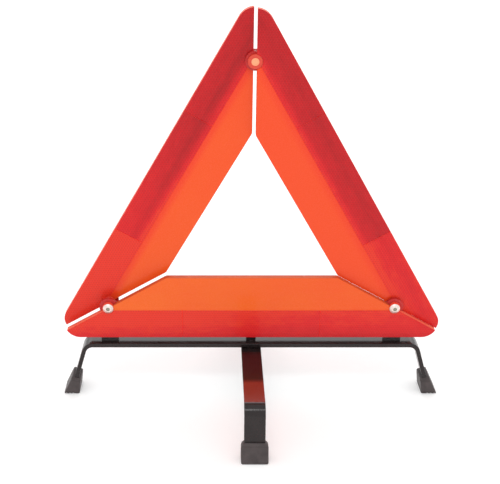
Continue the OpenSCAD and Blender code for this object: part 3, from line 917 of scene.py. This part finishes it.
def make_post_screws():
    """Two countersunk screws, flush in the bar's back."""
    bm = bmesh.new()
    slots = bmesh.new()
    profile = [(0, 0), (2.75, 0), (2.9, 0.12), (1.5, 1.4), (1.5, 4.2), (1.2, 4.4), (0, 4.4)]
    for u in (-POST_SCREW_U, POST_SCREW_U):
        lathe(bm, profile, 40, (u, POST_SCREW_V))
        cross_slot(slots, u, POST_SCREW_V, -1.0, 0.9, 1.7, 0.6)
    piece("post_screws", bm, [STEEL], "base", arm_matrix("bar"), cut=slots)


def make_support_screws():
    """Two pan-head screws under the lateral strip, seen from below."""
    bm = bmesh.new()
    slots = bmesh.new()
    under = STRIP_TOP - STRIP_T - FIT
    profile = head_below(3.0, 1.8, under, 8) + [
        (3.0, under - 0.1), (2.8, under), (1.5, under), (1.5, under + 8.4), (0, under + 8.5)
    ]
    for x in (-SUPPORT_X, SUPPORT_X):
        lathe(bm, profile, 40, (x, 0))
        cross_slot(slots, x, 0, under - 3.0, under - 0.9, 1.5, 0.6)
    piece("support_screws", bm, [STEEL], "base", cut=slots)


def make_post():
    """A plate inside the bar, a neck and, through both strips, a spigot with a domed head."""
    bm = bmesh.new()
    wide = PLATE_HALF_W
    neck_x, neck_y = NECK_HALF
    back = BAR_BACK - COVER_T
    front = back - PLATE_T
    box_solid(bm, (-wide, front, BASE_Z + 5.0), (wide, back, BASE_Z + 16.0))
    box_solid(bm, (-neck_x, front, STRIP_TOP), (neck_x, back, BASE_Z + 6.0))
    box_solid(bm, (-neck_x, -neck_y, STRIP_TOP), (neck_x, neck_y, BASE_Z - 0.2))
    head_top = CROSS_BOTTOM - WASHER_T - 2 * FIT
    spigot_top = STRIP_TOP + 0.5
    profile = head_below(6.5, 1.9, head_top, 10) + [
        (6.4, head_top - 0.15), (6.1, head_top), (SPIGOT_R, head_top), (SPIGOT_R, spigot_top),
        (0, spigot_top)
    ]
    lathe(bm, profile, 56)
    piece("centre_post", bm, [PAINT], "base", bevel=0.35)


def make_support(side, x):
    """A fluted block between the bar and the lateral strip, with a tongue up into the bar."""
    bm = bmesh.new()
    block_x, block_y = SUPPORT_HALF
    tongue_x, tongue_y = TONGUE_HALF
    box_solid(bm, (x - block_x, -block_y, STRIP_TOP), (x + block_x, block_y, BASE_Z))
    box_solid(bm, (x - tongue_x, -tongue_y, BASE_Z - 1.0),
              (x + tongue_x, tongue_y, BASE_Z + TONGUE_H))
    flutes = bmesh.new()
    inner_y = block_y - FLUTE_D
    outer_y = block_y + 1.0
    for mid in (x - 4.0, x + 4.0):
        for y0, y1 in ((-outer_y, -inner_y), (inner_y, outer_y)):
            box_solid(flutes, (mid - FLUTE_HALF_W, y0, STRIP_TOP + FLUTE_END),
                      (mid + FLUTE_HALF_W, y1, BASE_Z - FLUTE_END))
    piece(side + "_support", bm, [BLACK_PLASTIC], "base", bevel=0.3, cut=flutes)


make_post_screws()
make_support_screws()
make_post()
make_support("left", -SUPPORT_X)
make_support("right", SUPPORT_X)

# ---- Strips ----


def leg_drop(bent, z):
    """How far down a leg, along it, its outer face reaches the height z."""
    top, _, r, splay = bent
    return (top - r + r * sin(splay) - z) / cos(splay)


def leg_point(bent, out, down):
    """A point of the +X leg's plane: out along its outward normal, down along the leg."""
    top, reach, r, splay = bent
    return (reach + out * cos(splay) + down * sin(splay),
            top - r + out * sin(splay) - down * cos(splay))


def strip_stations(bent):
    """(outer surface point, outward normal) along a strip, from its -X foot to its +X foot."""
    top, reach, r, splay = bent
    right = [((0.0, top), (0.0, 1.0)), ((reach * 0.5, top), (0.0, 1.0))]
    for i in range(17):
        a = 90 + (splay - 90) * i / 16
        right.append(((reach + r * cos(a), top - r + r * sin(a)), (cos(a), sin(a))))
    far = leg_drop(bent, STRIP_END_Z)
    for k in (0.5, 1.0):
        right.append((leg_point(bent, r - LEG_SINK, far * k), (cos(splay), sin(splay))))
    left = [((-p[0], p[1]), (-n[0], n[1])) for p, n in right[1:]][::-1]
    return left + right


def strip_ring(p, n):
    """Rounded rectangle across a strip at one station."""
    r = STRIP_EDGE_R
    side = STRIP_W / 2 - r
    deep = STRIP_T - r
    ring = []
    for cy, cd, start in ((side, r, 90), (side, deep, 0), (-side, deep, -90), (-side, r, 180)):
        for i in range(4):
            a = start - 30 * i
            d = cd - r * sin(a)  # depth under the outer surface
            ring.append((p[0] - n[0] * d, cy + r * cos(a), p[1] - n[1] * d))
    return ring


def about_z(angle):
    return Matrix.Rotation(math.radians(angle), 4, "Z")


def make_strip(node, bent, paint, body, angle):
    bm = bmesh.new()
    loft(bm, [strip_ring(p, n) for p, n in strip_stations(bent)])
    piece(node, bm, [paint], body, about_z(angle))


make_strip("lateral_strip", LATERAL, PAINT, "base", 0)
make_strip("cross_strip", CROSS, PAINT_RED_REFLECTION, "cross_leg", 90)

# ---- Boots ----


def lerp(a, b, t):
    return (a[0] + (b[0] - a[0]) * t, a[1] + (b[1] - a[1]) * t)


def boot_side(bent, out, lean_out):
    """A boot's side face in the leg's plane: its point at the rim and its point at the sole."""
    rim = leg_drop(bent, BOOT_H)
    run = 2 * BOOT_H  # long enough to pass the ground
    a = leg_point(bent, out, rim)
    b = leg_point(bent, out + run * lean_out, rim + run)
    return a, lerp(a, b, a[1] / (a[1] - b[1]))


def boot_ring(a, b, half, draw):
    """Rounded rectangle from a to b across a boot, drawn in at both ends."""
    length = math.hypot(b[0] - a[0], b[1] - a[1])
    r = min(2.0, length * 0.3)
    near = draw + r
    far = length - draw - r
    ring = []
    for cx, cy, start in ((far, half - r, 0), (near, half - r, 90), (near, r - half, 180),
                          (far, r - half, 270)):
        for i in range(6):
            angle = start + 18 * i
            x, z = lerp(a, b, (cx + r * cos(angle)) / length)
            ring.append((x, cy + r * sin(angle), z))
    return ring


def boot_treads(bent):
    """Cutters for three grooves across the sole."""
    bm = bmesh.new()
    middle = leg_point(bent, bent[2], leg_drop(bent, 0))[0]
    past = BOOT_W / 2 + 2
    for x in (middle - 4, middle, middle + 4):
        box_solid(bm, (x - 1, -past, -1), (x + 1, past, 1.2))
    return bm


def make_boot(side, bent, body, angle):
    face = bent[2] - LEG_SINK
    inner = boot_side(bent, face - STRIP_T - BOOT_WALL, -tan(BOOT_INNER_FLARE))
    outer = boot_side(bent, face + BOOT_WALL, tan(BOOT_FLARE))
    rings = []
    for share, draw in BOOT_STATIONS:
        half = BOOT_W / 2 - draw
        above = max(BOOT_SHOULDER - share * BOOT_H, 0)  # height over the shoulder's end
        half -= BOOT_SHOULDER - math.sqrt(BOOT_SHOULDER ** 2 - above ** 2)
        rings.append(boot_ring(lerp(*inner, share), lerp(*outer, share), half, draw))
    bm = bmesh.new()
    loft(bm, rings)
    piece(side + "_boot", bm, [RUBBER], body, about_z(angle), cut=boot_treads(bent))


make_boot("right", LATERAL, "base", 0)
make_boot("left", LATERAL, "base", 180)
make_boot("rear", CROSS, "cross_leg", 90)
make_boot("front", CROSS, "cross_leg", -90)

# ---- Floor, light and camera ----


def floor_material():
    t = Tree("floor_white")
    place = t.add("ShaderNodeNewGeometry").outputs["Position"]
    soft = t.noise(place, 3.0, 2.0, 0.5)
    return t.set(
        Base_Color=t.ramp(soft, [(0.3, (0.93, 0.93, 0.93)), (0.7, (0.95, 0.948, 0.945))]),
        Roughness=0.7,
        Emission_Color=(1.0, 1.0, 1.0, 1.0),
        Emission_Strength=0.15,
    )


def make_floor():
    """A wide floor in metres, a hair under the boots."""
    size = 14.0
    bm = bmesh.new()
    for x, y in ((-size, -size), (size, -size), (size, size), (-size, size)):
        bm.verts.new((x, y, -0.0004))
    bm.faces.new(list(bm.verts))
    me = bpy.data.meshes.new("floor")
    bm.to_mesh(me)
    bm.free()
    me.materials.append(floor_material())
    link("floor", me)


def make_world():
    world = bpy.data.worlds.new("studio")
    world.use_nodes = True
    sky = world.node_tree.nodes["Background"]
    sky.inputs["Color"].default_value = (1.0, 1.0, 1.0, 1.0)
    sky.inputs["Strength"].default_value = 1.0
    bpy.context.scene.world = world


def area_light(name, place, aim, size, power):
    data = bpy.data.lights.new(name, "AREA")
    data.shape = "RECTANGLE"
    data.size, data.size_y = size
    data.energy = power
    ob = link(name, data)
    ob.location = place
    ob.visible_camera = False
    ob.rotation_mode = "QUATERNION"
    ob.rotation_quaternion = (Vector(aim) - Vector(place)).to_track_quat("-Z", "Y")


make_floor()
make_world()
area_light("key", (-0.15, -1.05, 1.65), (0, 0, 0.1), (0.7, 0.3), 4.0)
area_light("rear", (0.0, 2.0, 1.3), (0, 0, 0.06), (3.0, 1.2), 11.0)

camera = bpy.data.cameras.new("camera")
camera.sensor_width = 36.0
camera.lens = 72.65
camera.shift_x = 0.0748
camera.clip_start = 0.05
camera.clip_end = 60.0
eye = link("camera", camera)
eye.location = (-0.045, -1.0405, 0.6539)
eye.rotation_euler = (math.radians(66.02), 0, 0)
scene = bpy.context.scene
scene.camera = eye
scene.view_settings.view_transform = "Standard"
